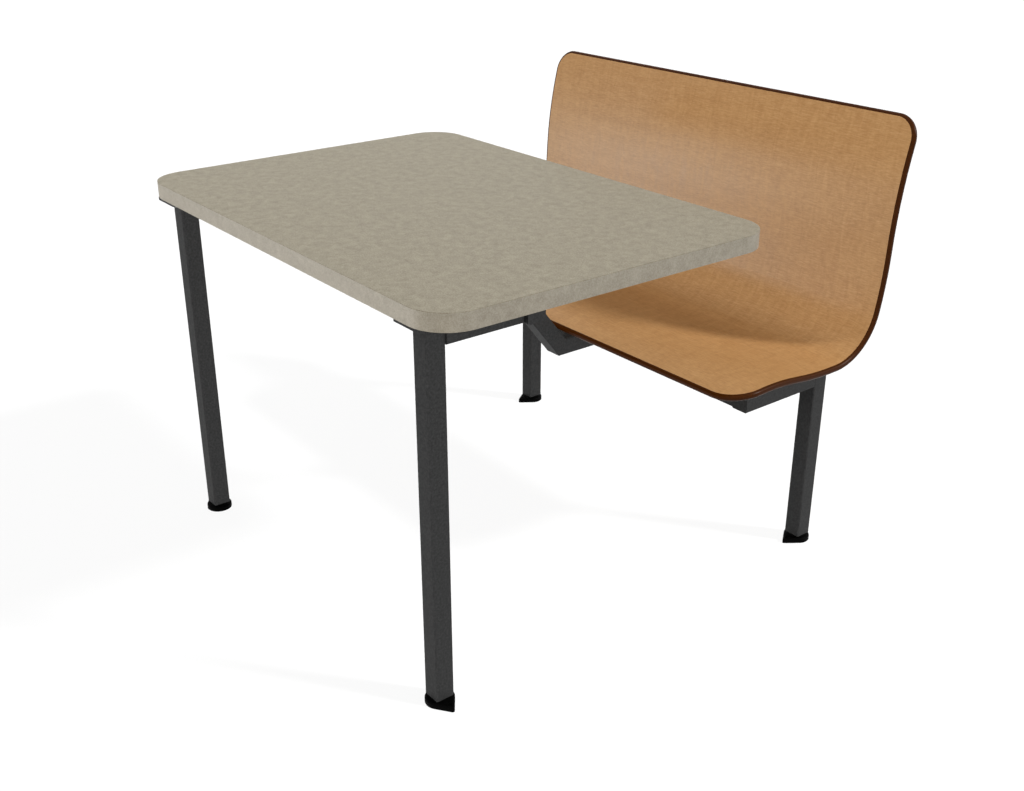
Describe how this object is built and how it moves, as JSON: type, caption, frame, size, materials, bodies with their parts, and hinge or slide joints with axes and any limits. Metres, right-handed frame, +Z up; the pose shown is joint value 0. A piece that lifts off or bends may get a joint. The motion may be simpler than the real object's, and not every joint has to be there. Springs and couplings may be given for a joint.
{
  "type": "table with attached bench",
  "caption": "Rectangular table on a charcoal square-tube frame, joined by a cranked arm to a two-seat bent woodgrain bench shell; black swivel levelling feet.",
  "frame": {"origin": "on the floor, under the middle of the whole object's length and width", "axes": "+X along the bench and the tabletop's long side, to the right seen from the table's free side; +Y from the table to the bench; +Z up"},
  "size_m": [1.1032, 1.1726, 0.9373],
  "materials": {
    "tabletop_face": "matt laminate, fine greige mottle",
    "board": "particle board",
    "backing_sheet": "plain phenolic sheet",
    "charcoal_steel": "satin charcoal powder coat",
    "zinc_steel": "zinc plated",
    "stem_steel": "zinc plated",
    "shell_edge": "dark brown lacquered ply edge",
    "woodgrain_face": "satin woodgrain laminate",
    "black_plastic": "moulded black nylon",
    "pad_plastic": "smooth black polymer"
  },
  "bodies": {
    "frame": {"tabletop_laminate": "tabletop_face", "tabletop_edge_band": "tabletop_face", "tabletop_core": "board", "tabletop_backer": "backing_sheet", "tabletop_screws": "zinc_steel", "seat_bolts": "zinc_steel", "seat_t_nuts": "zinc_steel", "bench_shell_core": "shell_edge", "bench_face_laminate": "woodgrain_face", "bench_back_laminate": "woodgrain_face", "table_leg_left": "charcoal_steel", "table_leg_right": "charcoal_steel", "leg_plate_left": "charcoal_steel", "leg_plate_right": "charcoal_steel", "side_rail_left": "charcoal_steel", "side_rail_right": "charcoal_steel", "table_cross_tube": "charcoal_steel", "cross_tube_end_caps": "charcoal_steel", "cross_tube_plates": "charcoal_steel", "centre_support_plate": "charcoal_steel", "arm_upper_run": "charcoal_steel", "arm_riser": "charcoal_steel", "arm_lower_run": "charcoal_steel", "bench_leg_left": "charcoal_steel", "bench_leg_right": "charcoal_steel", "bench_cross_tube": "charcoal_steel", "seat_beam_left": "charcoal_steel", "seat_beam_right": "charcoal_steel", "seat_beam_end_caps": "charcoal_steel", "bench_leg_caps": "charcoal_steel", "seat_strap_left": "charcoal_steel", "seat_strap_right": "charcoal_steel", "seat_strap_risers": "charcoal_steel", "foot_insert_table_left": "black_plastic", "foot_insert_table_right": "black_plastic", "foot_insert_bench_left": "black_plastic", "foot_insert_bench_right": "black_plastic"},
    "stem_table_left": {"glide_stem_table_left": "stem_steel"},
    "base_table_left": {"glide_base_table_left": "black_plastic", "glide_pad_table_left": "pad_plastic"},
    "stem_table_right": {"glide_stem_table_right": "stem_steel"},
    "base_table_right": {"glide_base_table_right": "black_plastic", "glide_pad_table_right": "pad_plastic"},
    "stem_bench_left": {"glide_stem_bench_left": "stem_steel"},
    "base_bench_left": {"glide_base_bench_left": "black_plastic", "glide_pad_bench_left": "pad_plastic"},
    "stem_bench_right": {"glide_stem_bench_right": "stem_steel"},
    "base_bench_right": {"glide_base_bench_right": "black_plastic", "glide_pad_bench_right": "pad_plastic"}
  },
  "joints": [
    {"name": "level_table_left", "type": "slide", "parent": "frame", "child": "stem_table_left", "axis": [0, 0, -1], "range_m": [0, 0.025]},
    {"name": "swivel_table_left", "type": "hinge", "parent": "stem_table_left", "child": "base_table_left", "pos_m": [-0.4546, -0.54021, 0.011], "axis": [0, 0, 1], "continuous": true},
    {"name": "level_table_right", "type": "slide", "parent": "frame", "child": "stem_table_right", "axis": [0, 0, -1], "range_m": [0, 0.025]},
    {"name": "swivel_table_right", "type": "hinge", "parent": "stem_table_right", "child": "base_table_right", "pos_m": [0.4546, -0.54021, 0.011], "axis": [0, 0, 1], "continuous": true},
    {"name": "level_bench_left", "type": "slide", "parent": "frame", "child": "stem_bench_left", "axis": [0, 0, -1], "range_m": [0, 0.025]},
    {"name": "swivel_bench_left", "type": "hinge", "parent": "stem_bench_left", "child": "base_bench_left", "pos_m": [-0.4772, 0.42499, 0.011], "axis": [0, 0, 1], "continuous": true},
    {"name": "level_bench_right", "type": "slide", "parent": "frame", "child": "stem_bench_right", "axis": [0, 0, -1], "range_m": [0, 0.025]},
    {"name": "swivel_bench_right", "type": "hinge", "parent": "stem_bench_right", "child": "base_bench_right", "pos_m": [0.4772, 0.42499, 0.011], "axis": [0, 0, 1], "continuous": true}
  ]
}
